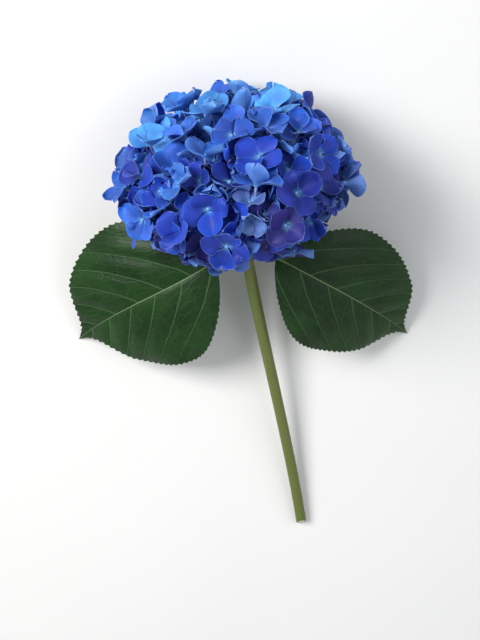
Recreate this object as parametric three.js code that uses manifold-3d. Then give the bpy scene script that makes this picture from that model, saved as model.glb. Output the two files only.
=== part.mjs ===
// A mophead hydrangea, cut with its stem and the pair of leaves under the head, lying on a table.
// Millimetres, +Z up. The stem runs towards -Y, the head points along +Y and the table is Z = 0.
// The origin is the middle of the part's bounding box, at table height.
import * as THREE from "three";
import { mergeVertices } from "three/addons/utils/BufferGeometryUtils.js";
import Module from "manifold-3d";

const wasm = await Module();
wasm.setup();

const { degToRad, lerp, clamp, smoothstep } = THREE.MathUtils;
const TURN = 2 * Math.PI;
const GOLDEN_ANGLE = Math.PI * (3 - Math.sqrt(5));
const UP = new THREE.Vector3(0, 0, 1);
const MERGE_DISTANCE = 1e-4; // corners closer than this are one

// Colours of the living surfaces
const SEPAL_BLUE = "#3f63bd";
const STEM_GREEN = "#6f7f3a";
const LEAF_GREEN = "#1f3d22";

// How the flower lies
const AXIS_RISE = degToRad(24); // the head's axis above the table
const HEAD_HEIGHT = 72; // centre of the head above the table
const JOINT_GAP = 0.3; // between neighbouring pieces
const BOX_MIDDLE = new THREE.Vector3(-7.93, -111.38, 0); // middle of the part, from below the head's centre

// The dome that the florets stand on, about the head's own axis
const DOME_RADIUS = 72;
const DOME_TOP = 42;
const DOME_UNDER = 28;
const DOME_END = degToRad(132); // polar angle of the lowest florets
const DOME_STEPS = 4000;
const FLORETS = 68;
const FLORET_SEED = 20260;

// One floret: its sepals round a bead, on a stalk
const SEPALS = 4;
const SEPAL_REACH = 21;
const SEPAL_THICK = 0.9;
const SIDE_SHARE = 0.74; // the widest place of a sepal, as a share of its reach
const SIDE_ANGLE = degToRad(41);
const TIP_ANGLE = degToRad(14);
const CUP_ANGLE = degToRad(26); // sepals rise by this from the floret's plane
const CUP_SPREAD = degToRad(10);
const SIZE_SPREAD = 0.07;
const EYE_RADIUS = 2;
const BEAD_RISE = 2.4;
const STALK_RADIUS = 1;

// How the florets share the dome
const TURN_JITTER = 0.05;
const SHINGLE = degToRad(18); // florets lean towards the top of the head
const SHINGLE_FROM = 0.5; // polar angle where that lean is full
const MOST_TILT = degToRad(12);
const LAYERS = 3; // neighbours stand at different depths
const LAYER_STEP = 6.2;
const DEPTH_JITTER = 1.5;
const PRESS_START = 17; // florets with a foot lower than this are pressed flat by the table
const PRESS_FULL = 7;

// The branches inside the head
const KNOTS = 14;
const KNOT_SHARE = 0.55; // branches end on the dome shrunk by this
const KNOT_RADIUS = 3.8;
const KNOT_END = degToRad(112);
const RAY_ROOT_RADIUS = 2.3;
const RAY_TIP_RADIUS = 1.6;
const HUB_BASE = -43; // along the head's axis, where the head leaves the stem
const HUB_TOP = -28;
const HUB_FOOT_RADIUS = 4.3;
const HUB_RADIUS = 7;

// The stem
const STEM_SIDES = 12;
const STEM_RADIUS = 3.9;
const STEM_TOP_RADIUS = 4.2;
const STEM_END = new THREE.Vector3(10, -286, 4.2);
const STEM_END_RISE = degToRad(7);
const STEM_REACH = 80; // length over which each end of the stem keeps its direction
const STEM_STEP = 24;
const JOINT_PLACE = 17; // the leaf joint, along the stem from its top
const JOINT_SWELL = 2.2;
const JOINT_SPREAD = 5;
const CUT_SLANT = degToRad(38);
const BUD_LENGTH = 8;
const BUD_RADIUS = 1.8;
const BUD_SIDES = 6;
const BUD_ROUND_AT = 0.25; // the bud is widest here, as a share of its length
const BUD_TAPER_AT = 0.6;
const BUD_TAPER = 0.8; // and this share as wide there
const BUD_ABOVE = 6; // above the leaf joint
const BUD_LEAN = degToRad(12);

// The leaves
const LEAF_THICK = 0.9;
const LEAF_STEPS = 34;
const LEAF_COLUMNS = 3; // on each side of the midrib
const NARROWEST = 0.8;
const WIDEST_AT = 0.4;
const BASE_FULLNESS = 0.7; // the lower, the rounder the base of the blade
const TIP_FROM = 0.76; // the blade draws in from here
const TIP_FULL = 0.93; // to here, where its narrow tip begins
const TIP_NARROWING = 0.72;
const BLADE_RISE = 0.12; // the halves rise from the midrib
const BLADE_DROOP = 0.0042; // and bend down again towards the edge, per mm
const VEIN_PAIRS = 6;
const VEIN_SWEEP = 0.26;
const QUILT = 1.1;
const TOOTH_DEPTH = 2.4;
const TOOTH_LEAN = 0.4; // teeth point forwards, in steps of the blade
const SLOPE_STEP = 0.004; // over which the slopes of the blade are taken
const PETIOLE_SIDES = 8;
const PETIOLE_STEPS = 6;
const PETIOLE_RADIUS = 2.1;
const PETIOLE_FLARE = 1.2; // wider where it clasps the stem
const RIB_RADIUS = 1.5;
const RIB_SINK = 0.6; // share of the rib's radius below the blade
const RIB_END = 0.82;

// Repeatable draws, so that the head comes out the same each time
function seededRandom(seed) {
  let state = seed;
  return () => {
    state = (state * 48271) % 2147483647;
    return state / 2147483647;
  };
}

// A closed geometry as a solid, to join and cut
function solidFrom(geometry) {
  const bare = geometry.clone();
  bare.deleteAttribute("normal");
  bare.deleteAttribute("uv");
  const merged = mergeVertices(bare, MERGE_DISTANCE);
  return new wasm.Manifold(
    new wasm.Mesh({
      numProp: 3,
      vertProperties: new Float32Array(merged.attributes.position.array),
      triVerts: new Uint32Array(merged.index.array),
    }),
  );
}

function geometryFrom(solid) {
  const mesh = solid.getMesh();
  const geometry = new THREE.BufferGeometry();
  geometry.setAttribute("position", new THREE.BufferAttribute(new Float32Array(mesh.vertProperties), 3));
  geometry.setIndex(new THREE.BufferAttribute(new Uint32Array(mesh.triVerts), 1));
  geometry.computeVertexNormals();
  return geometry;
}

function geometryOf(points, triangles) {
  const geometry = new THREE.BufferGeometry();
  geometry.setFromPoints(points);
  geometry.setIndex(triangles);
  return geometry;
}

// The joined solids without loose scraps, and with sealed pockets filled
function wholeBody(solids) {
  const bodies = wasm.Manifold.union(solids).decompose();
  return bodies.reduce((largest, body) => (body.volume() > largest.volume() ? body : largest));
}

// A closed tube through rings of points, all with the same number of points
function tubeThrough(rings) {
  const sides = rings[0].length;
  const triangles = [];
  for (let r = 0; r + 1 < rings.length; r++) {
    for (let s = 0; s < sides; s++) {
      const a = r * sides + s;
      const b = r * sides + ((s + 1) % sides);
      triangles.push(a, b, b + sides, a, b + sides, a + sides);
    }
  }
  const last = (rings.length - 1) * sides;
  for (let s = 1; s + 1 < sides; s++) {
    triangles.push(0, s + 1, s);
    triangles.push(last, last + s, last + s + 1);
  }
  return geometryOf(rings.flat(), triangles);
}

// A ring of points square to a direction; slant pushes its upper points forwards along it
function ringAround(centre, along, radius, sides, slant = 0) {
  const side = UP.clone().cross(along).normalize();
  const up = along.clone().cross(side);
  const ring = [];
  for (let s = 0; s < sides; s++) {
    const above = radius * Math.sin((TURN * s) / sides);
    const point = centre.clone().addScaledVector(side, radius * Math.cos((TURN * s) / sides));
    point.addScaledVector(up, above).addScaledVector(along, slant * above);
    ring.push(point);
  }
  return ring;
}

// The head's own frame: its local +Z is the head's axis
const headFrame = new THREE.Matrix4().makeRotationX(AXIS_RISE - Math.PI / 2).setPosition(0, 0, HEAD_HEIGHT);
const inPart = (point) => point.clone().applyMatrix4(headFrame);

// A point of the dome at a polar and a turning angle, with the dome shrunk by a share
function domePoint(polar, turn, share = 1) {
  const height = Math.cos(polar) > 0 ? DOME_TOP : DOME_UNDER;
  const across = share * DOME_RADIUS * Math.sin(polar);
  const rise = share * height * Math.cos(polar);
  return new THREE.Vector3(across * Math.cos(turn), across * Math.sin(turn), rise);
}

function domeNormal(point) {
  const height = point.z > 0 ? DOME_TOP : DOME_UNDER;
  const slopes = new THREE.Vector3(DOME_RADIUS, DOME_RADIUS, height);
  return point.clone().divide(slopes).divide(slopes).normalize();
}

// Polar angles that share the dome's area evenly, from its top to an end angle
function evenPolars(count, end) {
  const step = end / DOME_STEPS;
  const areas = [];
  let total = 0;
  for (let i = 0; i < DOME_STEPS; i++) {
    const polar = (i + 0.5) * step;
    const height = Math.cos(polar) > 0 ? DOME_TOP : DOME_UNDER;
    total += Math.sin(polar) * Math.hypot(DOME_RADIUS * Math.cos(polar), height * Math.sin(polar));
    areas.push(total);
  }
  const polars = [];
  for (let i = 0; i < DOME_STEPS && polars.length < count; i++) {
    if (areas[i] >= (total * (polars.length + 0.5)) / count) polars.push((i + 0.5) * step);
  }
  return polars;
}

// Where each branch ends, in the head's frame
function knotPlaces() {
  return evenPolars(KNOTS, KNOT_END).map((polar, k) => domePoint(polar, k * GOLDEN_ANGLE, KNOT_SHARE));
}

// Where each floret stands, which way it faces and how its sepals bend, in the part's frame
function floretPlaces() {
  const random = seededRandom(FLORET_SEED);
  const between = (low, high) => lerp(low, high, random());
  const knots = knotPlaces();
  return evenPolars(FLORETS, DOME_END).map((polar, k) => {
    const turn = k * GOLDEN_ANGLE + between(-TURN_JITTER, TURN_JITTER);
    const foot = domePoint(polar, turn);
    const facing = domeNormal(foot);
    const layer = (k % LAYERS) - (LAYERS - 1) / 2;
    foot.addScaledVector(facing, LAYER_STEP * layer + between(-DEPTH_JITTER, DEPTH_JITTER));
    const sideways = new THREE.Vector3(-Math.sin(turn), Math.cos(turn), 0);
    const upwards = facing.clone().cross(sideways);
    const tilt = Math.tan(MOST_TILT * Math.sqrt(between(0, 1)));
    const tiltTurn = between(0, TURN);
    const lean = Math.tan(SHINGLE * Math.min(1, polar / SHINGLE_FROM));
    facing.addScaledVector(sideways, tilt * Math.cos(tiltTurn));
    facing.addScaledVector(upwards, tilt * Math.sin(tiltTurn) + lean).normalize();
    const nearer = (a, b) => (b.distanceTo(foot) < a.distanceTo(foot) ? b : a);
    const root = inPart(knots.reduce(nearer));
    const centre = inPart(foot);
    facing.transformDirection(headFrame);
    const pressed = 1 - smoothstep(centre.z, PRESS_FULL, PRESS_START);
    facing.lerp(UP.clone().negate(), pressed).normalize();
    const spin = between(0, TURN);
    const size = SEPAL_REACH * between(1 - SIZE_SPREAD, 1 + SIZE_SPREAD);
    const sepals = Array.from({ length: SEPALS }, (_, s) => ({
      turn: spin + (s * TURN) / SEPALS,
      reach: size * between(1 - SIZE_SPREAD, 1 + SIZE_SPREAD),
      cups: [0, 1, 2].map(() => (1 - pressed) * (CUP_ANGLE + between(-CUP_SPREAD, CUP_SPREAD))),
    }));
    return { centre, facing, pressed, root, sepals };
  });
}

// A floret as one closed mesh: its sepals, the bead between them and the stalk down to its root
function floretGeometry({ centre, facing, pressed, root, sepals }) {
  const across = new THREE.Vector3(1, 0, 0).cross(facing).normalize();
  const along = across.clone().cross(facing);
  const at = (turn, radius, rise) =>
    new THREE.Vector3()
      .addScaledVector(along, radius * Math.cos(turn))
      .addScaledVector(across, radius * Math.sin(turn))
      .addScaledVector(facing, rise)
      .add(centre);
  const points = [];
  const triangles = [];
  const addPoint = (point) => points.push(point) - 1;
  // The front and back points of a sepal at a turn and a reach, with the sepal raised by a cup angle
  const addPair = (turn, reach, cup) =>
    [0.5, -0.5].map((half) =>
      addPoint(at(turn, reach * Math.cos(cup), reach * Math.sin(cup) + half * SEPAL_THICK)),
    );
  const halfTurn = TURN / (2 * SEPALS);
  const corners = sepals.map(({ turn }) => addPair(turn + halfTurn, EYE_RADIUS, 0));
  const bead = addPoint(at(0, 0, SEPAL_THICK / 2 + (1 - pressed) * BEAD_RISE));
  sepals.forEach(({ turn, reach, cups }, s) => {
    const before = corners[(s + SEPALS - 1) % SEPALS];
    const outline = [
      before,
      addPair(turn - SIDE_ANGLE, SIDE_SHARE * reach, cups[0]),
      addPair(turn - TIP_ANGLE, reach, cups[1]),
      addPair(turn + TIP_ANGLE, reach, cups[1]),
      addPair(turn + SIDE_ANGLE, SIDE_SHARE * reach, cups[2]),
      corners[s],
    ];
    for (const [a, b, c] of [[0, 1, 4], [0, 4, 5], [1, 2, 3], [1, 3, 4]]) {
      triangles.push(outline[a][0], outline[b][0], outline[c][0]);
      triangles.push(outline[a][1], outline[c][1], outline[b][1]);
    }
    for (let e = 0; e + 1 < outline.length; e++) {
      const [frontA, backA] = outline[e];
      const [frontB, backB] = outline[e + 1];
      triangles.push(backA, backB, frontB, backA, frontB, frontA);
    }
    triangles.push(before[0], corners[s][0], bead);
  });
  liftToTable(points);
  const toRoot = root.clone().sub(centre);
  const base = sepals.map(({ turn }) => addPoint(at(turn + halfTurn, STALK_RADIUS, 0).add(toRoot)));
  for (let side = 0; side < SEPALS; side++) {
    const next = (side + 1) % SEPALS;
    const upper = corners[side][1];
    triangles.push(base[side], base[next], corners[next][1], base[side], corners[next][1], upper);
  }
  triangles.push(base[0], base[3], base[2], base[0], base[2], base[1]);
  return geometryOf(points, triangles);
}

// Raises points together, so that none is under the table
function liftToTable(points) {
  const lowest = Math.min(...points.map((point) => point.z));
  if (lowest < 0) for (const point of points) point.z -= lowest;
}

function knotSolid(knot) {
  const geometry = new THREE.OctahedronGeometry(KNOT_RADIUS, 0);
  geometry.translate(knot.x, knot.y, knot.z);
  return solidFrom(geometry);
}

function raySolid(knot) {
  const start = new THREE.Vector3(0, 0, (HUB_BASE + HUB_TOP) / 2);
  const along = knot.clone().sub(start).normalize();
  const rings = [ringAround(start, along, RAY_ROOT_RADIUS, 3), ringAround(knot, along, RAY_TIP_RADIUS, 3)];
  return solidFrom(tubeThrough(rings));
}

// The swollen top of the flower stalk, where the branches part
function hubSolid() {
  const middle = (HUB_BASE + HUB_TOP) / 2;
  const profile = [
    new THREE.Vector2(0, HUB_BASE),
    new THREE.Vector2(HUB_FOOT_RADIUS, HUB_BASE),
    new THREE.Vector2(HUB_RADIUS, middle),
    new THREE.Vector2(0, HUB_TOP),
  ];
  const geometry = new THREE.LatheGeometry(profile, STEM_SIDES);
  geometry.rotateX(Math.PI / 2);
  return solidFrom(geometry);
}

function flowerHead() {
  const branches = [hubSolid()];
  for (const knot of knotPlaces()) branches.push(raySolid(knot), knotSolid(knot));
  const placed = wasm.Manifold.union(branches).transform(headFrame.elements);
  return wholeBody([placed, ...floretPlaces().map((place) => solidFrom(floretGeometry(place)))]);
}

// The stem's middle line, from its top to its cut end
function stemCurve() {
  const top = inPart(new THREE.Vector3(0, 0, HUB_BASE - JOINT_GAP));
  const topPull = inPart(new THREE.Vector3(0, 0, HUB_BASE - STEM_REACH));
  const endPull = new THREE.Vector3(0, Math.cos(STEM_END_RISE), Math.sin(STEM_END_RISE));
  endPull.multiplyScalar(STEM_REACH).add(STEM_END);
  return new THREE.CubicBezierCurve3(top, topPull, endPull, STEM_END);
}

// The stem as a tube that swells at the leaf joint; clearance makes it thicker all round
function stemTube(curve, clearance) {
  const length = curve.getLength();
  const stops = [0];
  for (let s = JOINT_PLACE - 2 * JOINT_SPREAD; s <= JOINT_PLACE + 2 * JOINT_SPREAD; s += JOINT_SPREAD / 2) {
    stops.push(s);
  }
  for (let s = JOINT_PLACE + 3 * JOINT_SPREAD; s < length - STEM_STEP / 2; s += STEM_STEP) stops.push(s);
  stops.push(length);
  const rings = stops.map((s) => {
    const swell = JOINT_SWELL * Math.exp(-(((s - JOINT_PLACE) / JOINT_SPREAD) ** 2));
    const radius = lerp(STEM_TOP_RADIUS, STEM_RADIUS, s / length) + swell + clearance;
    const slant = s === length ? -Math.tan(CUT_SLANT) : 0;
    const centre = curve.getPointAt(s / length);
    return ringAround(centre, curve.getTangentAt(s / length), radius, STEM_SIDES, slant);
  });
  return solidFrom(tubeThrough(rings));
}

// A resting bud in the angle between a leaf's stalk and the stem
function budSolid(curve, side) {
  const profile = [
    new THREE.Vector2(0, 0),
    new THREE.Vector2(BUD_RADIUS, BUD_LENGTH * BUD_ROUND_AT),
    new THREE.Vector2(BUD_RADIUS * BUD_TAPER, BUD_LENGTH * BUD_TAPER_AT),
    new THREE.Vector2(0, BUD_LENGTH),
  ];
  const place = (JOINT_PLACE - BUD_ABOVE) / curve.getLength();
  const outwards = new THREE.Vector3(side, 0, 0);
  const pointing = curve.getTangentAt(place).multiplyScalar(-Math.cos(BUD_LEAN));
  pointing.addScaledVector(outwards, Math.sin(BUD_LEAN)).normalize();
  const geometry = new THREE.LatheGeometry(profile, BUD_SIDES);
  const latheAxis = new THREE.Vector3(0, 1, 0);
  geometry.applyQuaternion(new THREE.Quaternion().setFromUnitVectors(latheAxis, pointing));
  const foot = curve.getPointAt(place).addScaledVector(outwards, STEM_RADIUS);
  geometry.translate(foot.x, foot.y, foot.z);
  return solidFrom(geometry);
}

function stem() {
  const curve = stemCurve();
  const whole = wholeBody([stemTube(curve, 0), budSolid(curve, -1), budSolid(curve, 1)]);
  return whole.trimByPlane([0, 0, 1], 0);
}

// The share of a blade's full width at a place along its midrib
function widthShare(u) {
  const narrowing = 1 - TIP_NARROWING * smoothstep(u, TIP_FROM, TIP_FULL);
  const past = (u - WIDEST_AT) / (1 - WIDEST_AT);
  const base = Math.sin(((Math.PI / 2) * Math.min(u, WIDEST_AT)) / WIDEST_AT) ** BASE_FULLNESS;
  return u < WIDEST_AT ? base : (1 - past ** 2) * narrowing;
}

// The blade's middle surface, at u along its midrib and v across it from -1 to 1
function bladeSurface({ midrib, width }) {
  return (u, v) => {
    const along = midrib.getTangentAt(u);
    const side = along.clone().cross(UP).normalize();
    const up = side.clone().cross(along);
    const across = (v * Math.max(NARROWEST, width * widthShare(u))) / 2;
    const veins = Math.cos(TURN * VEIN_PAIRS * (u - VEIN_SWEEP * Math.abs(v)));
    const quilting = -QUILT * veins * Math.sin(Math.PI * Math.abs(v)) * Math.sin(Math.PI * u);
    const rise = BLADE_RISE * Math.abs(across) - BLADE_DROOP * across ** 2 + quilting;
    const point = midrib.getPointAt(u).addScaledVector(side, across).addScaledVector(up, rise);
    point.z = Math.max(point.z, LEAF_THICK / 2);
    return point;
  };
}

// The surface's upward normal, from its slopes
function bladeNormal(surface, u, v) {
  const along = surface(Math.min(1, u + SLOPE_STEP), v).sub(surface(Math.max(0, u - SLOPE_STEP), v));
  const across = surface(u, Math.min(1, v + SLOPE_STEP)).sub(surface(u, Math.max(-1, v - SLOPE_STEP)));
  return across.cross(along).normalize();
}

// A toothed blade, closed: the same triangles above and below, and a wall round its edge
function bladeSolid(leaf) {
  const surface = bladeSurface(leaf);
  const columns = 2 * LEAF_COLUMNS + 1;
  const points = [];
  for (let i = 0; i <= LEAF_STEPS; i++) {
    for (let j = 0; j < columns; j++) {
      const atEdge = j === 0 || j === columns - 1;
      const tooth = atEdge && i % 2 === 1 && i < TIP_FULL * LEAF_STEPS;
      const u = (i + (tooth ? TOOTH_LEAN : 0)) / LEAF_STEPS;
      const reach = tooth ? 1 + (2 * TOOTH_DEPTH) / leaf.width : 1;
      const v = (j / LEAF_COLUMNS - 1) * reach;
      const middle = surface(u, v);
      const normal = bladeNormal(surface, u, clamp(v, -1, 1));
      points.push(middle.clone().addScaledVector(normal, LEAF_THICK / 2));
      points.push(middle.clone().addScaledVector(normal, -LEAF_THICK / 2));
    }
  }
  const upper = (i, j) => 2 * (i * columns + j);
  const triangles = [];
  const addWall = (a, b) => triangles.push(a + 1, b + 1, b, a + 1, b, a);
  for (let i = 0; i < LEAF_STEPS; i++) {
    for (let j = 0; j + 1 < columns; j++) {
      const [a, b, c, d] = [upper(i, j), upper(i, j + 1), upper(i + 1, j + 1), upper(i + 1, j)];
      triangles.push(a, b, c, a, c, d);
      triangles.push(a + 1, c + 1, b + 1, a + 1, d + 1, c + 1);
    }
    addWall(upper(i, columns - 1), upper(i + 1, columns - 1));
    addWall(upper(i + 1, 0), upper(i, 0));
  }
  for (let j = 0; j + 1 < columns; j++) {
    addWall(upper(0, j), upper(0, j + 1));
    addWall(upper(LEAF_STEPS, j + 1), upper(LEAF_STEPS, j));
  }
  return solidFrom(geometryOf(points, triangles));
}

// The leaf's stalk, which runs on under the blade as its midrib
function petioleSolid(leaf, joint) {
  const { midrib } = leaf;
  const surface = bladeSurface(leaf);
  const stalk = new THREE.QuadraticBezierCurve3(joint, leaf.stalkPull, midrib.getPointAt(0));
  const rings = [];
  for (let i = 0; i < PETIOLE_STEPS; i++) {
    const t = i / PETIOLE_STEPS;
    const radius = PETIOLE_RADIUS + PETIOLE_FLARE * (1 - t) ** 2;
    rings.push(ringAround(stalk.getPoint(t), stalk.getTangent(t), radius, PETIOLE_SIDES));
  }
  for (let i = 0; i <= RIB_END * LEAF_STEPS; i += 2) {
    const u = i / LEAF_STEPS;
    const radius = lerp(u === 0 ? PETIOLE_RADIUS : RIB_RADIUS, LEAF_THICK, u / RIB_END);
    const centre = midrib.getPointAt(u).addScaledVector(bladeNormal(surface, u, 0), -RIB_SINK * radius);
    rings.push(ringAround(centre, midrib.getTangentAt(u), radius, PETIOLE_SIDES));
  }
  return solidFrom(tubeThrough(rings));
}

function leafSolid(leaf) {
  const curve = stemCurve();
  const joint = curve.getPointAt(JOINT_PLACE / curve.getLength());
  const whole = wasm.Manifold.union([bladeSolid(leaf), petioleSolid(leaf, joint)]);
  return wholeBody([whole.subtract(stemTube(curve, JOINT_GAP))]);
}

// The two leaves: midribs that arch from the stem and droop to the table
const LEFT_LEAF = {
  midrib: new THREE.CubicBezierCurve3(
    new THREE.Vector3(-23, -60, 54),
    new THREE.Vector3(-60, -75, 64),
    new THREE.Vector3(-104, -88, 34),
    new THREE.Vector3(-134, -113, 0.45),
  ),
  stalkPull: new THREE.Vector3(-11, -55, 49),
  width: 116,
};
const RIGHT_LEAF = {
  midrib: new THREE.CubicBezierCurve3(
    new THREE.Vector3(21, -65, 52),
    new THREE.Vector3(50, -85, 66),
    new THREE.Vector3(88, -118, 34),
    new THREE.Vector3(112, -150, 0.45),
  ),
  stalkPull: new THREE.Vector3(10, -57, 49),
  width: 96,
};

const surfaceOf = (name, color, roughness) =>
  new THREE.MeshStandardMaterial({ name, color, roughness, metalness: 0 });

function named(name, solid, surface) {
  const mesh = new THREE.Mesh(geometryFrom(solid), surface);
  mesh.name = name;
  return mesh;
}

const part = new THREE.Group();
part.add(
  named("flower_head", flowerHead(), surfaceOf("sepals", SEPAL_BLUE, 0.6)),
  named("stem", stem(), surfaceOf("stem", STEM_GREEN, 0.55)),
  named("leaf_left", leafSolid(LEFT_LEAF), surfaceOf("leaf", LEAF_GREEN, 0.4)),
  named("leaf_right", leafSolid(RIGHT_LEAF), surfaceOf("leaf", LEAF_GREEN, 0.4)),
);
part.position.copy(BOX_MIDDLE).negate();

export default part;
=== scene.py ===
# A cut mophead hydrangea that lies on a table: its looks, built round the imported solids.
# Shapes are worked out in millimetres, in the frame of the solids, and the meshes are in metres.
import math

import bpy
import numpy as np
from mathutils import Matrix, Vector

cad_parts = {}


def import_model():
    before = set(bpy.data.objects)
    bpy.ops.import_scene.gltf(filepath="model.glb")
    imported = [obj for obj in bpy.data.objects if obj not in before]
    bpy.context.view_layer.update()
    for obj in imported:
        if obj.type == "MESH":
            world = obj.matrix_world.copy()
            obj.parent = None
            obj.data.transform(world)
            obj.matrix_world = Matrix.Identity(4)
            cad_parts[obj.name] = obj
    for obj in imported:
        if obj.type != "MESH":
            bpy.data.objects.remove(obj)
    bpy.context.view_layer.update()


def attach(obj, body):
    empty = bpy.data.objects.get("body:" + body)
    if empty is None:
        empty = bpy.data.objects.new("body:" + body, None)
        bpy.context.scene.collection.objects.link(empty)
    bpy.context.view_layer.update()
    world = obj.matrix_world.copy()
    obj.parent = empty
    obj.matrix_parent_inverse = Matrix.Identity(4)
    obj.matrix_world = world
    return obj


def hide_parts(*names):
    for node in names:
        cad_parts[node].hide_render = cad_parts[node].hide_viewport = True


MM = 0.001
TURN = 2 * math.pi
GOLDEN_ANGLE = math.pi * (3 - math.sqrt(5))
ACROSS = np.array([1.0, 0.0, 0.0])
UP = np.array([0.0, 0.0, 1.0])
DRAW_FACTOR = 48271
DRAW_RANGE = 2147483647
CURVE_STEPS = 400
UPRIGHT = 0.01  # a path this near to straight up has no side of its own
FLOOR_GAP = 0.02
SHARP_ANGLE = math.radians(50)

# How the flower lies, as in the solids
AXIS_RISE = math.radians(24)
HEAD_HEIGHT = 72
JOINT_GAP = 0.3
BOX_MIDDLE = np.array([-7.93, -111.38, 0.0])

# The dome that the florets stand on, as in the solids
DOME_RADIUS = 72
DOME_TOP = 42
DOME_UNDER = 28
DOME_END = math.radians(132)
DOME_STEPS = 4000
FLORETS = 68
FLORET_SEED = 20260

# The floret plan, as in the solids
SEPALS = 4
SEPAL_REACH = 21
CUP_ANGLE = math.radians(26)
CUP_SPREAD = math.radians(10)
SIZE_SPREAD = 0.07
TURN_JITTER = 0.05
SHINGLE = math.radians(18)
SHINGLE_FROM = 0.5
MOST_TILT = math.radians(12)
LAYERS = 3
LAYER_STEP = 6.2
DEPTH_JITTER = 1.5
PRESS_START = 17
PRESS_FULL = 7

# The branches inside the head, placed as in the solids
KNOTS = 14
KNOT_SHARE = 0.55
KNOT_END = math.radians(112)
RAY_RADII = (2.0, 1.4)
HUB_BASE = -43
HUB_TOP = -28
HUB_MIDDLE = (HUB_BASE + HUB_TOP) / 2
HUB_RADIUS = 6.6
HUB_FORM = [  # heights and radii
    (HUB_BASE, 4.3),
    (HUB_BASE + 2, 4.5),
    (HUB_BASE + 4, 5.4),
    (HUB_MIDDLE - 1, HUB_RADIUS),
    (HUB_MIDDLE + 1, HUB_RADIUS),
    (HUB_TOP - 3, 4),
    (HUB_TOP, 0.8),
]
HUB_SIDES = 24

# The fine form of the branches and the floret stalks
RAY_SAG = 1.5
RAY_FLARE = 1.1
RAY_FLARE_LENGTH = 0.06
RAY_RINGS = 14
RAY_SIDES = 10
KNOT_FORM = [(-2.2, 1.2), (-1.4, 2.2), (0, 2.7), (1.4, 2.0), (2.4, 0.6)]  # places and radii
KNOT_SIDES = 12
STALK_RADII = (0.8, 0.55)
STALK_FLARE = 0.55
FLARE_FROM = 0.9
STALK_END = 0.5
STALK_BENDS = (0.35, 0.5)
STALK_PALING = (0.1, 0.7)  # where on its length the green turns to pale blue
STALK_RINGS = 10
STALK_SIDES = 7

# Smaller florets that fill the head between the large ones
INNER_FLORETS = 330
FINE_FLORETS = 130  # of these, the ones that are seen from outside
INNER_SEED = 731
INNER_PLACES = 800
INNER_END = math.radians(130)
INNER_REACH = 14.8
INNER_SIZES = (0.85, 1.12)
INNER_TILT = math.radians(48)
LEAST_TILTED = 0.06
CUP_SHARES = (0.4, 2.1)
SHALLOWEST = -7
DEEPEST = (8, 30)  # of the first and the last one
LIFE_SIZE = 0.81  # of a sepal, to the larger ones of the solids
OUTWARDS = 2.4  # keeps the head's outline with these smaller sepals
MOST_OUTSIDE = 4.5
SEPALS_OUTSIDE = 11
LOOSE_TILT = math.radians(36)
CUP_CHANGE = (-0.4, 0.75)
SKIRT = 11  # by which the lowest florets of the upper side hang towards the stem
SKIRT_FROM = math.radians(92)
SKIRT_FULL = math.radians(118)
SKIRT_HEIGHT = 92

# How florets are kept from crossing
LARGE_VARIANTS = 8
INNER_VARIANTS = 12
MOST_CROSSING = 42
PATCH_GRID = (4, 3)  # rows and columns
PATCH_POINTS = (PATCH_GRID[0] + 1) * (PATCH_GRID[1] + 1)
PATCH_STEP = 2.6
PATCH_SPREAD = 4.2
NEARBY = 27
SEPAL_NEARBY = 17
SEPAL_GAP = 0.6  # between the middles of two sepals that touch
MOST_BENT = 7
BENDS = 2
BEND_FROM = 0.08  # share of a sepal's length
BEND_FULL = 0.4
BASE_WEIGHT = 1.1
LEAF_PATCHES = (32, 12)

# The fine form of a sepal
FINE_GRID = (16, 9)  # rows and columns, in multiples of a patch's
DEEP_GRID = (8, 6)  # the same, deep in the head
SEPAL_HALF_WIDTH = 0.5  # share of the reach
WIDEST_POWER = 1.2
TIP_POWER = 0.52
TIP_HALF_WIDTH = 0.5
TIP_CROWDING = 1.5
LEAST_CURL = 1e-3
RAMP_END = 0.5
TRAITS = {  # the range that each is drawn from, for every sepal
    "power": (TIP_POWER - 0.08, TIP_POWER + 0.16),
    "breadth": (0.95, 1.08),
    "curl": (-0.2, 1.22),
    "spoon": (-3, 5),
    "fold": (-4, 4),
    "waves": (1.2, 2.6),
    "phase": (0, TURN),
    "other_phase": (0, TURN),
    "drift": (-0.05, 0.05),
}
WAVES = (0.12, 1.15)  # when pressed, and when free
MIDLINE_DEPTH = 0.35
MIDLINE_WIDTH = 0.12
OVER_LEVEL = 0.35  # every other sepal lies over its neighbours
UNDER_LEVEL = -0.1
SEPAL_THICK = (0.42, 0.24)  # inside, and at the edge
CLAW_START = 0.9
SIDE_SHARE = 0.74
TRAIT_SEED = 9176
HEAD_PARTS = ("lowest", "lower", "middle", "upper", "uppermost")

# The bead in the eye of a floret
BEAD_RADIUS = 1.45
INNER_BEAD = 0.75
BEAD_SIZES = (0.85, 1.15)
BEAD_SQUASH = (0.92, 0.2)  # when free, and when pressed
BEAD_CENTRE = 0.72
BEAD_TOP = 1.66
BEAD_FOOT = 0.3
LOBE_DEPTH = 0.09
BEAD_ROWS = 8
BEAD_SIDES = 16

# The stem, placed as in the solids
STEM_RADIUS = 3.9
STEM_TOP_RADIUS = 4.2
STEM_END = np.array([10.0, -286.0, 4.2])
STEM_END_RISE = math.radians(7)
STEM_REACH = 80
JOINT_PLACE = 17
JOINT_SWELL = 2.2
JOINT_SPREAD = 5
CUT_SLANT = math.radians(38)
BUD_LENGTH = 8
BUD_RADIUS = 1.8
BUD_ABOVE = 6
BUD_LEAN = math.radians(12)
BUD_FORM = [(0, 0.35), (0.25, 1.0), (0.6, 0.82), (0.85, 0.42), (1, 0.06)]  # places and radii

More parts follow.
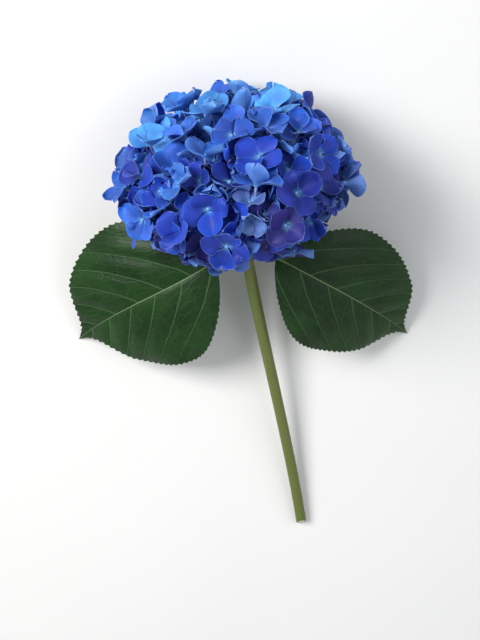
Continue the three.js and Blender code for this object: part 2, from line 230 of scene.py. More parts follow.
# The fine form of the stem
BUD_RINGS = 14
BUD_SIDES = 18
SCALE_END = 0.42
SCALE_LIP = 0.07
SCALE_LIP_LENGTH = 0.05
STEM_SIDES = 40
STEM_RINGS = 150
RIDGES = 6
RIDGE_DEPTH = 0.018
SCAR_WIDTH = 0.9
SCAR_DEPTH = 0.35
SCAR_STRENGTH = 0.7
BROWNING = 0.55
BROWNING_ENDS = (4, 60)
CUT_STRETCH = 6
CUT_SHARES = (0.9, 0.62, 0.55, 0.3)
PITH_FROM = 2
PITH_DEPTH = 0.25

# The leaves, placed as in the solids
NARROWEST = 0.8
WIDEST_AT = 0.4
BASE_FULLNESS = 0.7
TIP_FROM = 0.76
TIP_FULL = 0.93
TIP_NARROWING = 0.72
BLADE_RISE = 0.12
BLADE_DROOP = 0.0042
VEIN_PAIRS = 6
QUILT = 1.1
PETIOLE_RADIUS = 2.1
PETIOLE_FLARE = 1.2
PETIOLE_RINGS = 16
PETIOLE_SIDES = 14
RIB_RADIUS = 1.5
RIB_TIP_RADIUS = 0.6
RIB_START = 0.25
RIB_SINK = 0.6
RIB_END = 0.82
RIB_CLEAR = 0.5
RIB_SUNK_AT = 0.14
RIB_RINGS = 40
LEFT_LEAF = {
    "name": "leaf_left",
    "midrib": [(-23, -60, 54), (-60, -75, 64), (-104, -88, 34), (-134, -113, 0.45)],
    "stalk_pull": (-11, -55, 49),
    "width": 116,
    "seed": 5,
}
RIGHT_LEAF = {
    "name": "leaf_right",
    "midrib": [(21, -65, 52), (50, -85, 66), (88, -118, 34), (112, -150, 0.45)],
    "stalk_pull": (10, -57, 49),
    "width": 96,
    "seed": 11,
}

# The fine form of a leaf
LEAF_GRID = (240, 22)
TEETH = 40
TOOTH_DEPTH = 1.35
TOOTH_PEAK = 0.72
TOOTH_LEAN = 0.45
TEETH_RISE = (0.04, 0.12)
TEETH_FADE = (0.9, 0.95)
BLADE_THICK = 0.6
VEIN_SWEEP = (0.24, 0.4)  # at the base, and at the tip
VEIN_CURVE = 0.22
VEIN_STAGGER = 0.17
GROOVE_DEPTH = 0.7
GROOVE_WIDTH = 1.3
GROOVE_FADE = (0.8, 1.0)
RUFFLE = 0.9
RUFFLES = 3.2
MIDDLE_CROWDING = 1.35

# The set, in metres
FLOOR_HALF = 4.0
LIGHT_TARGET = (0.0, 0.03, 0.04)
LIGHTS = [
    {"name": "key", "place": (-0.8, 0.7, 1.05), "size": 0.6, "power": 22.0, "tint": (1.0, 0.985, 0.96)},
    {"name": "fill", "place": (1.0, 0.1, 1.1), "size": 1.2, "power": 6.0, "tint": (0.93, 0.96, 1.0)},
    {"name": "low", "place": (0.1, -1.1, 0.8), "size": 1.0, "power": 1.7, "tint": (1.0, 0.98, 0.95)},
]
SKY_LOW = 0.3
SKY_HIGH = 0.37
SKY_HEIGHT = 0.4
CAMERA_TARGET = (-0.004, 0.0, 0.03)
CAMERA_DISTANCE = 1.1
CAMERA_TILT = math.radians(14)
CAMERA_ROLL = math.radians(9)
CAMERA_LENS = 84


def linear(red, green, blue):
    """A screen colour, 0 to 255, as the linear colour that shaders use."""
    screen = np.array([red, green, blue]) / 255
    return np.where(screen <= 0.04045, screen / 12.92, ((screen + 0.055) / 1.055) ** 2.4)


# Colours of the florets
EYE_TINT = linear(116, 182, 218)
# painted light: the pale glow painted along sepal margins, as of light through the thin edge
EDGE_GLOW_TINT = linear(158, 176, 242)
REVERSE_TINT = linear(112, 160, 226)
ROYAL_TINT = linear(20, 68, 184)
# partly the florets' own azure, and partly a painted highlight on the upper left of the head
AZURE_AND_HIGHLIGHT_TINT = linear(84, 166, 228)
VIOLET_TINT = linear(64, 56, 146)
YOUNG_TINT = linear(128, 166, 206)
BEAD_TINT = linear(126, 178, 218)
BEAD_VIOLET = linear(96, 110, 200)
SHEEN_TINT = (0.5, 0.75, 1.0, 1.0)
VEIN_SHADE = (0.66, 0.6, 0.84, 1.0)
SEPAL_VEINS = 3.5
FLORET_SHADES = (0.85, 1.12)
SEPAL_SHADES = (0.78, 1.2)
SEPAL_VIOLET = 0.25
FACE_SHADE = 1.12
YOUNG_SHARE = 0.09
# painted light: the most that a floret's sepal margins are made to glow pale
MOST_EDGE_GLOW = 0.3
EYE_STRENGTH = 0.8
EYE_SIZE = 0.13
HEART_STRENGTH = 0.7
HEART_VIOLET = 0.4
HEART_SHADE = 0.9
HEART_WIDTH = 0.6
HEART_AT = 0.45
HEART_LENGTH = 0.35
BEAD_MOST_VIOLET = 0.7
STALK_SHADES = (0.85, 1.1)

# The drift of colour over the head: partly the florets' own colour, and partly painted light, with
# painted highlight to the upper left and painted shade to the lower right
HIGH_FORWARD = 0.76
HIGH_ACROSS = 0.08
HIGH_SPREAD = 0.34
ALL_AZURE = 0.85
MOST_AZURE = 0.9
ALL_VIOLET = 0.8
MOST_VIOLET = 0.85
# painted light and shade: how much lighter or darker a floret is made by its place on the head
PAINTED_LIGHT_STRENGTHS = (0.44, 1.15)
PAINTED_LIGHT_RANGE = (-0.72, 0.52)

# Colours of the green parts and of the set
STALK_TINT = linear(158, 166, 220)
BRANCH_TINT = linear(112, 140, 104)
KNOT_TINT = BRANCH_TINT * 0.7 + STALK_TINT * 0.3
HUB_TINT = BRANCH_TINT * 0.9
# the stem's green, partly its own colour and partly painted shade: darker than the stem is in full light
STEM_TINT_WITH_PAINTED_SHADE = linear(92, 109, 47)
STEM_BROWN = linear(112, 92, 52)
# browner patches of the stem, darkened in the same way by painted shade
STEM_PATCH_TINT_WITH_PAINTED_SHADE = linear(110, 104, 54)
FLECK_TINT = linear(92, 58, 44)
SCAR_TINT = linear(86, 100, 44)
CUT_RIM_TINT = linear(128, 150, 70)
CUT_WOOD_TINT = linear(196, 204, 150)
CUT_PITH_TINT = linear(236, 234, 212)
BUD_TINT = linear(126, 142, 66)
BUD_TIP_TINT = linear(128, 74, 62)
LEAF_TINT = linear(24, 60, 15)
LEAF_DARK = linear(12, 42, 10)
LEAF_VEIN_TINT = linear(72, 104, 66)
LEAF_RIB_TINT = linear(112, 140, 96)
UNDERSIDE_TINT = linear(104, 132, 84)
UNDERSIDE_SHADES = (0.85, 1.15, 1.5, 1.7)  # of its dark and light patches, veins and rib
# the leaf stalk's green, darkened by painted shade to match the stem
PETIOLE_TINT_WITH_PAINTED_SHADE = linear(98, 120, 57)
FLOOR_TINT = (0.84, 0.84, 0.835, 1)
SKY_TINT = (0.95, 0.97, 1.0, 1)


class Draw:
    """Repeatable draws, the same ones as in the solids."""

    def __init__(self, seed):
        self.state = seed

    def between(self, low, high):
        self.state = self.state * DRAW_FACTOR % DRAW_RANGE
        share = self.state / DRAW_RANGE
        return (1 - share) * low + share * high

    def within(self, spread):
        return self.between(-spread, spread)

    def share(self):
        return self.between(0, 1)

    def turn(self):
        return self.between(0, TURN)

    def near_one(self):
        return self.between(1 - SIZE_SPREAD, 1 + SIZE_SPREAD)


def unit(vector):
    return vector / np.linalg.norm(vector, axis=-1, keepdims=True)


def smoothstep(value, low, high):
    share = np.clip((value - low) / (high - low), 0, 1)
    return share * share * (3 - 2 * share)


def mix(low, high, share):
    return low + (high - low) * share


def bell(distance):
    """1 in the middle, and nearly 0 from about 2 outwards."""
    return np.exp(-(distance**2))


def on_curve(controls, t):
    """Points of a curve at shares t of its parameter."""
    points = [np.outer(np.ones_like(t), control) for control in controls]
    share = t[:, None]
    while len(points) > 1:
        points = [mix(a, b, share) for a, b in zip(points, points[1:])]
    return points[0]


class Bezier:
    """A curve drawn by control points, walked by its length."""

    def __init__(self, controls):
        self.controls = np.array(controls, float)
        self.steps = np.linspace(0, 1, CURVE_STEPS + 1)
        legs = np.linalg.norm(np.diff(self.at(self.steps), axis=0), axis=1)
        self.lengths = np.concatenate([[0], np.cumsum(legs)])
        self.length = self.lengths[-1]

    def at(self, t):
        return on_curve(self.controls, t)

    def along(self, u):
        """The curve's own parameter at shares of its length."""
        return np.interp(np.atleast_1d(u) * self.length, self.lengths, self.steps)

    def point(self, u):
        return self.at(self.along(u))

    def tangent(self, u):
        return unit(on_curve(np.diff(self.controls, axis=0), self.along(u)))


# Layout, the same as in the solids
def head_matrix():
    angle = AXIS_RISE - math.pi / 2
    c, s = math.cos(angle), math.sin(angle)
    return np.array([[1, 0, 0], [0, c, -s], [0, s, c]])


HEAD_TURN = head_matrix()
HEAD_CENTRE = np.array([0, 0, HEAD_HEIGHT])


def in_part(point):
    return HEAD_TURN @ point + HEAD_CENTRE


def dome_height(rise):
    return DOME_TOP if rise > 0 else DOME_UNDER


def dome_point(polar, turn, share=1):
    height = dome_height(math.cos(polar))
    across = share * DOME_RADIUS * math.sin(polar)
    return np.array(
        [across * math.cos(turn), across * math.sin(turn), share * height * math.cos(polar)]
    )


def dome_normal(point):
    slopes = np.array([DOME_RADIUS, DOME_RADIUS, dome_height(point[2])])
    return unit(point / slopes / slopes)


def even_polars(count, end):
    """Angles from the dome's top to the end that share its surface evenly."""
    step = end / DOME_STEPS
    polars = (np.arange(DOME_STEPS) + 0.5) * step
    heights = np.where(np.cos(polars) > 0, DOME_TOP, DOME_UNDER)
    slant = np.hypot(DOME_RADIUS * np.cos(polars), heights * np.sin(polars))
    areas = np.cumsum(np.sin(polars) * slant)
    wanted = areas[-1] * (np.arange(count) + 0.5) / count
    return polars[np.searchsorted(areas, wanted)]


def knot_places():
    polars = even_polars(KNOTS, KNOT_END)
    return [dome_point(polar, k * GOLDEN_ANGLE, KNOT_SHARE) for k, polar in enumerate(polars)]


def nearest_knot(foot, knots):
    return in_part(min(knots, key=lambda knot: np.linalg.norm(knot - foot)))


def tilted(facing, turn, tilt, tilt_turn, lean=0):
    """A facing, tilted to any side and leaned towards the dome's top."""
    sideways = np.array([-math.sin(turn), math.cos(turn), 0])
    upwards = np.cross(facing, sideways)
    facing = facing + sideways * tilt * math.cos(tilt_turn)
    return unit(facing + upwards * (tilt * math.sin(tilt_turn) + lean))


def square_to(facing):
    """Two directions square to a facing and to each other."""
    side = unit(np.cross(ACROSS, facing))
    return side, np.cross(side, facing)


def sepal_plan(number, spin, reach, cups):
    return {"turn": spin + number * TURN / SEPALS, "reach": reach, "cups": cups}


def large_floret(number, polar, knots, draw):
    """A floret of the solids, from the same draws as theirs."""
    turn = number * GOLDEN_ANGLE + draw.within(TURN_JITTER)
    foot = dome_point(polar, turn)
    facing = dome_normal(foot)
    layer = number % LAYERS - (LAYERS - 1) / 2
    foot = foot + facing * (LAYER_STEP * layer + draw.within(DEPTH_JITTER))
    tilt = math.tan(MOST_TILT * math.sqrt(draw.share()))
    lean = math.tan(SHINGLE * min(1, polar / SHINGLE_FROM))
    facing = HEAD_TURN @ tilted(facing, turn, tilt, draw.turn(), lean)
    centre = in_part(foot)
    pressed = float(1 - smoothstep(centre[2], PRESS_FULL, PRESS_START))
    spin = draw.turn()
    size = SEPAL_REACH * draw.near_one()
    sepals = []
    for s in range(SEPALS):
        reach = size * draw.near_one()
        cups = [(1 - pressed) * (CUP_ANGLE + draw.within(CUP_SPREAD)) for _ in range(3)]
        sepals.append(sepal_plan(s, spin, reach, cups))
    return {
        "centre": centre,
        "facing": unit(mix(facing, -UP, pressed)),
        "pressed": pressed,
        "root": nearest_knot(foot, knots),
        "sepals": sepals,
        "inner": False,
        "fine": True,
    }


def floret_places():
    draw = Draw(FLORET_SEED)
    knots = knot_places()
    polars = even_polars(FLORETS, DOME_END)
    return [large_floret(number, polar, knots, draw) for number, polar in enumerate(polars)]


def sepal_traits(free, draw):
    """What makes one sepal unlike the next. One that isn't free lies flat."""
    traits = {name: draw.between(*ends) for name, ends in TRAITS.items()}
    curl = free * traits["curl"] ** 2 + LEAST_CURL
    return traits | {"curl": curl, "spoon": free * traits["spoon"], "fold": free * max(0, traits["fold"])}


def inner_floret(spot, turn, polar, number, knots, draw):
    """A smaller floret near a spot of the dome."""
    deepest = mix(*DEEPEST, number / INNER_FLORETS)
    foot = spot - dome_normal(spot) * draw.between(SHALLOWEST, deepest)
    tilt = math.tan(INNER_TILT * math.sqrt(draw.between(LEAST_TILTED, 1)))
    facing = tilted(dome_normal(spot), turn, tilt, draw.turn())
    size = INNER_REACH * draw.between(*INNER_SIZES)
    spin = draw.turn()
    sepals = []
    for s in range(SEPALS):
        reach = size * draw.near_one()
        raised = CUP_ANGLE * mix(*CUP_SHARES, draw.share() ** 1.5)
        cups = [raised + draw.within(CUP_SPREAD) for _ in range(3)]
        sepals.append(sepal_plan(s, spin, reach, cups) | {"traits": sepal_traits(1, draw)})
    centre = in_part(foot)
    low = smoothstep(polar, SKIRT_FROM, SKIRT_FULL) * smoothstep(centre[2], HEAD_HEIGHT, SKIRT_HEIGHT)
    return {
        "centre": centre - HEAD_TURN @ UP * SKIRT * low,
        "facing": HEAD_TURN @ facing,
        "pressed": 0.0,
        "root": nearest_knot(foot, knots),
        "sepals": sepals,
        "inner": True,
        "fine": number < FINE_FLORETS,
    }


def outside_dome(points):
    """How far points are out of the dome, and from its middle."""
    offsets = (points - HEAD_CENTRE) @ HEAD_TURN
    heights = np.where(offsets[..., 2] > 0, DOME_TOP, DOME_UNDER + SKIRT)
    flat = (offsets[..., 0] ** 2 + offsets[..., 1] ** 2) / DOME_RADIUS**2
    shares = np.sqrt(flat + (offsets[..., 2] / heights) ** 2)
    lengths = np.linalg.norm(offsets, axis=-1)
    return lengths * (1 - 1 / shares), lengths


def drawn_in(centre):
    """A centre, drawn in where it would stand too far out of the dome."""
    outside, length = outside_dome(centre)
    excess = max(0, outside - MOST_OUTSIDE)
    return centre - (centre - HEAD_CENTRE) * excess / length


def loosened(place, draw):
    """A large floret at life size, tilted more, with its sepals more unlike."""
    free = 1 - place["pressed"]
    tilt = free * math.tan(LOOSE_TILT * math.sqrt(draw.share()))
    turn = draw.turn()
    side, other = square_to(place["facing"])
    sway = side * math.cos(turn) + other * math.sin(turn)
    moved = place["centre"] + OUTWARDS * unit(place["centre"] - HEAD_CENTRE)
    sepals = []
    for sepal in place["sepals"]:
        raised = free * draw.between(*CUP_CHANGE)
        changed = {
            "reach": sepal["reach"] * LIFE_SIZE,
            "cups": [cup + raised for cup in sepal["cups"]],
            "traits": sepal_traits(free, draw),
        }
        sepals.append(sepal | changed)
    return place | {
        "centre": mix(place["centre"], drawn_in(moved), free),
        "facing": unit(place["facing"] + tilt * sway),
        "sepals": sepals,
    }


def reach_through(points, others, normals):
    """How far each patch reaches through each of the others: its lesser side."""
    apart = points[:, :, None, None] - others
    closest = (apart**2).sum(axis=-1).argmin(axis=-1)
    which = np.arange(len(others))
    offset = points[:, :, None] - others[which, closest]
    height = (offset * normals[which, closest]).sum(axis=-1)
    over = (offset**2).sum(axis=-1) - height**2 < PATCH_STEP**2
    above = np.where(over, np.maximum(height, 0), 0).sum(axis=1)
    below = np.where(over, np.maximum(-height, 0), 0).sum(axis=1)
    return np.minimum(above, below)


def bent_back(grid, u, sheets, normals):
    """A sepal, bent back from each sheet to the side that its base is on."""
    points = grid.reshape(-1, 3)
    which = np.arange(len(points))
    u = u.reshape(-1)
    loose = smoothstep(u, BEND_FROM, BEND_FULL)
    for sheet, facings in zip(sheets, normals):
        offsets = points[:, None] - sheet
        closest = (offsets**2).sum(axis=-1).argmin(axis=1)
        offset, facing = offsets[which, closest], facings[closest]
        height = (offset * facing).sum(axis=-1)
        aside = np.sqrt(np.maximum((offset**2).sum(axis=-1) - height**2, 0))
        over = 1 - smoothstep(aside, PATCH_STEP, PATCH_SPREAD)
        side = np.sign((over * (BASE_WEIGHT - u) * height).sum())
        bend = over * loose * np.maximum(SEPAL_GAP - height * side, 0)
        if bend.max() < MOST_BENT:
            points = points + (bend * side)[:, None] * facing
    return points.reshape(grid.shape)


def patch_normals(grids):
    return np.array([grid_normals(grid).reshape(-1, 3) for grid in grids])


class Crowd:
    """The sepals and leaves so far, as patches of a few points with their normals."""

    def __init__(self):
        self.places = []
        self.points = np.zeros((0, PATCH_POINTS, 3))
        self.normals = np.zeros((0, PATCH_POINTS, 3))

    def add_patches(self, grids):
        points = np.array([grid.reshape(-1, 3) for grid in grids])
        self.points = np.concatenate([self.points, points])
        self.normals = np.concatenate([self.normals, patch_normals(grids)])

    def add_sheet(self, grid):
        """A wide grid, cut into patches."""
        height, width = PATCH_GRID
        rows = range(0, len(grid) - height, height)
        columns = range(0, grid.shape[1] - width, width)
        self.add_patches([grid[r : r + height + 1, c : c + width + 1] for r in rows for c in columns])

    def near(self, middle, reach):
        """Which patches have their middle this near."""
        return np.linalg.norm(self.points.mean(axis=1) - middle, axis=1) < reach

    def crossing(self, points, normals):
        """How far a floret's sepals reach through each other and their neighbours."""
        near = self.near(points.mean(axis=(0, 1)), NEARBY)
        among = reach_through(points, points, normals)
        np.fill_diagonal(among, 0)
        return among.sum() + reach_through(points, self.points[near], self.normals[near]).sum()

    def score(self, place):
        """How much a floret would cross its neighbours and stick out of the head."""
        form = [sepal_middle(place, k, sepal, *PATCH_GRID)[0] for k, sepal in enumerate(place["sepals"])]
        points = np.array(form).reshape(SEPALS, -1, 3)
        sticking_out = np.maximum(outside_dome(points)[0] - SEPALS_OUTSIDE, 0).sum()
        return self.crossing(points, patch_normals(form)) + sticking_out

    def settled(self, place):
        """A floret's sepals as grids, bent back from what stands so far."""
        forms = []
        rows, columns = FINE_GRID if place["fine"] else DEEP_GRID
        for number, sepal in enumerate(place["sepals"]):
            grid, u, v = sepal_middle(place, number, sepal, rows, columns)
            near = self.near(grid.mean(axis=(0, 1)), SEPAL_NEARBY)
            for _ in range(BENDS):
                grid = bent_back(grid, u, self.points[near], self.normals[near])
            self.add_patches([grid[:: rows // PATCH_GRID[0], :: columns // PATCH_GRID[1]]])
            forms.append((grid, u, v))
        return forms

    def add_best(self, variants):
        """Stands a floret the best of several ways. A small one that still crosses much is left out."""
        place = min(variants, key=self.score)
        forms = self.settled(place)
        crossing = self.crossing(self.points[-SEPALS:], self.normals[-SEPALS:])
        if place["inner"] and crossing > MOST_CROSSING:
            self.points, self.normals = self.points[:-SEPALS], self.normals[:-SEPALS]
        else:
            self.places.append(place | {"forms": forms})


def fill_gaps(crowd, draw):
    """Adds the smaller florets, each in the widest gap that is left."""
    knots = knot_places()
    polars = even_polars(INNER_PLACES, INNER_END)
    turns = (np.arange(INNER_PLACES) + 0.5) * GOLDEN_ANGLE
    spots = np.array([dome_point(polar, turn) for polar, turn in zip(polars, turns)])
    taken = np.array([HEAD_TURN.T @ (place["centre"] - HEAD_CENTRE) for place in crowd.places])
    room = np.linalg.norm(spots[:, None] - taken[None], axis=2).min(axis=1)
    for number in range(INNER_FLORETS):
        k = int(np.argmax(room))
        room = np.minimum(room, np.linalg.norm(spots - spots[k], axis=1))
        variants = [
            inner_floret(spots[k], turns[k], polars[k], number, knots, draw)
            for _ in range(INNER_VARIANTS)
        ]
        variants = [place for place in variants if place["centre"][2] > PRESS_START]
        if variants:
            crowd.add_best(variants)


def crowded_places():
    """All the florets: the large ones, then the smaller ones."""
    draw = Draw(INNER_SEED)
    crowd = Crowd()
    for leaf in (LEFT_LEAF, RIGHT_LEAF):
        crowd.add_sheet(leaf_form(leaf, *LEAF_PATCHES)["grid"])
    for place in floret_places():
        crowd.add_best([loosened(place, draw) for _ in range(LARGE_VARIANTS)])
    fill_gaps(crowd, draw)
    return crowd.places


# Meshes
class Builder:
    """Collects points with a colour and a map each, and faces with a material each."""

    def __init__(self):
        self.points = []
        self.tints = []
        self.maps = []
        self.faces = []
        self.slots = []
        self.count = 0

    def add(self, points, faces, tints, maps=0.0, slots=0):
        points = np.asarray(points, float).reshape(-1, 3)
        number = len(points)
        self.points.append(points)
        self.tints.append(np.broadcast_to(tints, (number, 3)))
        self.maps.append(np.broadcast_to(maps, (number, 3)))
        self.faces.extend([[i + self.count for i in face] for face in faces])
        self.slots.extend([slots] * len(faces) if isinstance(slots, int) else slots)
        self.count += number

    def add_tube(self, path, radii, sides, tints):
        """A round tube, with one colour or one for each point."""
        points, faces, maps = tube(path, radii, sides)
        self.add(points, faces, tints, maps)

    def build(self, name, materials):
        mesh = bpy.data.meshes.new(name)
        points = (np.concatenate(self.points) - BOX_MIDDLE) * MM
        mesh.from_pydata(points.tolist(), [], self.faces)
        tint = mesh.attributes.new("tint", "FLOAT_COLOR", "POINT")
        colours = np.concatenate([np.concatenate(self.tints), np.ones((len(points), 1))], axis=1)
        tint.data.foreach_set("color", colours.astype(np.float32).ravel())
        place = mesh.attributes.new("map", "FLOAT_VECTOR", "POINT")
        place.data.foreach_set("vector", np.concatenate(self.maps).astype(np.float32).ravel())
        mesh.polygons.foreach_set("material_index", self.slots)
        mesh.polygons.foreach_set("use_smooth", [True] * len(mesh.polygons))
        mesh.set_sharp_from_angle(angle=SHARP_ANGLE)
        mesh.update()
        for material in materials:
            mesh.materials.append(material)
        return link(name, mesh)


def grid_normals(grid):
    """Normals of a grid: on a sepal they point to its back."""
    along = np.gradient(grid, axis=0)
    across = np.gradient(grid, axis=1)
    return unit(np.cross(across, along))


def link(name, data):
    """A new object in the scene."""
    thing = bpy.data.objects.new(name, data)
    bpy.context.scene.collection.objects.link(thing)
    return thing


def closed_sheet(middle, thickness):
    """A thin closed sheet: its points, and the faces of front, back and rim."""
    rows, columns = middle.shape[:2]
    offset = grid_normals(middle) * thickness[..., None] / 2
    points = np.concatenate([(middle + offset).reshape(-1, 3), (middle - offset).reshape(-1, 3)])
    index = np.arange(rows * columns).reshape(rows, columns)
    corners = [index[:-1, :-1], index[:-1, 1:], index[1:, 1:], index[1:, :-1]]
    front = np.stack(corners, axis=-1).reshape(-1, 4)
    back = front[:, ::-1] + rows * columns
    edge = np.concatenate([index[0, :-1], index[:-1, -1], index[-1, :0:-1], index[:0:-1, 0]])
    after = np.roll(edge, -1)
    rim = np.stack([after, edge, edge + rows * columns, after + rows * columns], axis=-1)
    return points, front.tolist(), back.tolist(), rim.tolist()


def walls(index):
    """Faces between rings of points, given by their numbers."""
    turned = np.roll(index, -1, axis=1)
    faces = np.stack([index[:-1], turned[:-1], turned[1:], index[1:]], axis=-1)
    return faces.reshape(-1, 4).tolist()


def closed_rings(rings, along):
    """A closed tube from rings of points, with each point's turn and place in its map."""
    count, sides = rings.shape[:2]
    index = np.arange(count * sides).reshape(count, sides)
    faces = walls(index) + [index[0, ::-1].tolist(), index[-1].tolist()]
    maps = np.zeros((count, sides, 3))
    maps[..., 0] = np.arange(sides) / sides
    maps[..., 1] = along[:, None]
    return rings.reshape(-1, 3), faces, maps.reshape(-1, 3)


def tube(path, radii, sides):
    """A closed round tube along a path."""
    tangents = unit(np.gradient(path, axis=0))
    side = np.cross(UP, tangents[0])
    if np.linalg.norm(side) < UPRIGHT:
        side = ACROSS
    rings = []
    angles = TURN * np.arange(sides) / sides
    for centre, tangent, radius in zip(path, tangents, radii):
        side = unit(side - tangent * (side @ tangent))
        other = np.cross(tangent, side)
        around = np.outer(np.cos(angles), side) + np.outer(np.sin(angles), other)
        rings.append(centre + radius * around)
    return closed_rings(np.array(rings), np.linspace(0, 1, len(path)))


# Florets
def floret_tint(place, draw):
    """A floret's colour: azure to the upper left of the head, violet to the lower right, partly its own
    colour and partly painted light. It is also made lighter to the upper left as painted highlight and
    darker to the lower right as painted shade.
    """
    offset = (place["centre"] - HEAD_CENTRE) / DOME_RADIUS
    high = HIGH_FORWARD * offset[1] - HIGH_ACROSS * offset[0] + draw.within(HIGH_SPREAD)
    # azure to the upper left: partly the florets' own colour, and partly painted highlight
    tint = mix(ROYAL_TINT, AZURE_AND_HIGHLIGHT_TINT, float(smoothstep(high, 0.0, ALL_AZURE)) * MOST_AZURE)
    # violet to the lower right: partly the florets' own colour, and partly painted shade
    tint = mix(tint, VIOLET_TINT, float(smoothstep(-high, 0.0, ALL_VIOLET)) * MOST_VIOLET)
    # painted light and shade: brighter towards the upper left, darker towards the lower right
    strength = mix(*PAINTED_LIGHT_STRENGTHS, float(smoothstep(high, *PAINTED_LIGHT_RANGE)))
    return tint * strength * draw.between(*FLORET_SHADES)


def half_widths(reach, traits, u):
    """Half the width of a sepal: broad, with a blunt tip."""
    bulge = np.sin(math.pi * u**WIDEST_POWER)
    peak = 0.5 ** (1 / WIDEST_POWER)
    power = np.where(u < peak, 1.0, traits["power"])
    half = reach * SEPAL_HALF_WIDTH * traits["breadth"] * np.abs(bulge) ** power
    return np.maximum(half, mix(CLAW_START, TIP_HALF_WIDTH, u))


def sepal_line(reach, cups, curl, u):
    """How far out and how high a sepal's middle line is, and its slope."""
    start = sum(cups) / 3 + curl / 2
    length = reach - CLAW_START
    slope = start - curl * u
    ahead = CLAW_START + length * (math.sin(start) - np.sin(slope)) / curl
    rise = length * (np.cos(slope) - math.cos(start)) / curl
    return ahead, rise, slope


def sepal_roll(cups):
    """The turn of a sepal about its own length."""
    return math.atan((math.sin(cups[2]) - math.sin(cups[0])) * SIDE_SHARE / (2 * SEPAL_HALF_WIDTH))


def sepal_lift(spread, u, v, sepal, free):
    """How a sepal rises beside its middle: spoon, fold, wavy margin and sunk midline."""
    cups, traits = sepal["cups"], sepal["traits"]
    ramp = np.sin(math.pi / 2 * np.clip(u / RAMP_END, 0, 1))
    spoon = SIDE_SHARE * sepal["reach"] * (math.sin((cups[0] + cups[2]) / 2) - math.sin(cups[1]))
    spoon += traits["spoon"]
    phase = traits["phase"] + np.where(v > 0, traits["other_phase"], 0)
    lift = spread * math.sin(sepal_roll(cups)) + spoon * v**2 + traits["fold"] * np.abs(v) ** 1.2
    wave = np.abs(v) ** 2.5 * np.sin(math.pi * traits["waves"] * u + phase)
    sunk = free * MIDLINE_DEPTH * bell(v / MIDLINE_WIDTH) * (1 - u)
    return (lift + mix(*WAVES, free) * wave - sunk) * ramp


def sepal_middle(place, number, sepal, rows, columns):
    """A sepal's middle surface, with each point's place along and across it."""
    facing = place["facing"]
    across, along = square_to(facing)
    turn, reach, traits = sepal["turn"], sepal["reach"], sepal["traits"]
    outwards = along * math.cos(turn) + across * math.sin(turn)
    sideways = -along * math.sin(turn) + across * math.cos(turn)
    t = np.linspace(0, 1, rows + 1)
    u = (1 - (1 - t) ** TIP_CROWDING)[:, None]
    v = np.linspace(-1, 1, columns + 1)[None, :]
    spread = half_widths(reach, traits, u) * v
    ahead, rise, slope = sepal_line(reach, sepal["cups"], traits["curl"], u)
    lift = sepal_lift(spread, u, v, sepal, 1 - place["pressed"])
    level = OVER_LEVEL if number % 2 else UNDER_LEVEL
    ahead = ahead - lift * np.sin(slope)
    rise = rise + (level * (1 - 0.5 * u) + lift) * np.cos(slope)
    aside = spread * math.cos(sepal_roll(sepal["cups"])) + traits["drift"] * reach * u**2
    points = place["centre"] + ahead[..., None] * outwards + aside[..., None] * sideways
    points = points + rise[..., None] * facing
    return points, np.broadcast_to(u, spread.shape), np.broadcast_to(v, spread.shape)


def sepal_tints(own, u, v):
    """A sepal's colours: more violet in its heart, and pale at the eye."""
    heart = HEART_STRENGTH * bell(v / HEART_WIDTH) * bell((u - HEART_AT) / HEART_LENGTH)
    violet = mix(own, VIOLET_TINT, HEART_VIOLET) * HEART_SHADE
    tints = mix(own * FACE_SHADE, violet, heart[..., None])
    eye = EYE_STRENGTH * bell(u / EYE_SIZE)
    return mix(tints, EYE_TINT, eye[..., None]).reshape(-1, 3)


def add_floret(sepal_builder, core_builder, stalk_builder, place, draw):
    tint = floret_tint(place, draw)
    if place["inner"] and draw.share() < YOUNG_SHARE:
        tint = mix(tint, YOUNG_TINT, 0.5)
    pieces = []
    # painted light: how strongly this floret's sepal margins glow pale
    edge_glow = draw.between(0, MOST_EDGE_GLOW)
    for grid, u, v in place["forms"]:
        edge = np.maximum(np.abs(v), u) ** 4
        points, front, back, rim = closed_sheet(grid, mix(*SEPAL_THICK, edge))
        own = mix(tint, VIOLET_TINT, draw.between(0, SEPAL_VIOLET)) * draw.between(*SEPAL_SHADES)
        face = sepal_tints(own, u, v)
        tints = np.concatenate([mix(face, REVERSE_TINT, 0.5), face])
        maps = np.stack([v, u, np.full(u.shape, edge_glow)], axis=-1).reshape(-1, 3)
        pieces.append((points, front + back + rim, tints, np.concatenate([maps, maps])))
    lowest = min(points[:, 2].min() for points, *_ in pieces)
    lift = max(0.0, -lowest) * UP
    for points, faces, tints, maps in pieces:
        sepal_builder.add(points + lift, faces, tints, maps)
    centre = place["centre"] + lift
    add_bead(core_builder, centre, place, draw)
    add_stalk(stalk_builder, centre, place, draw)


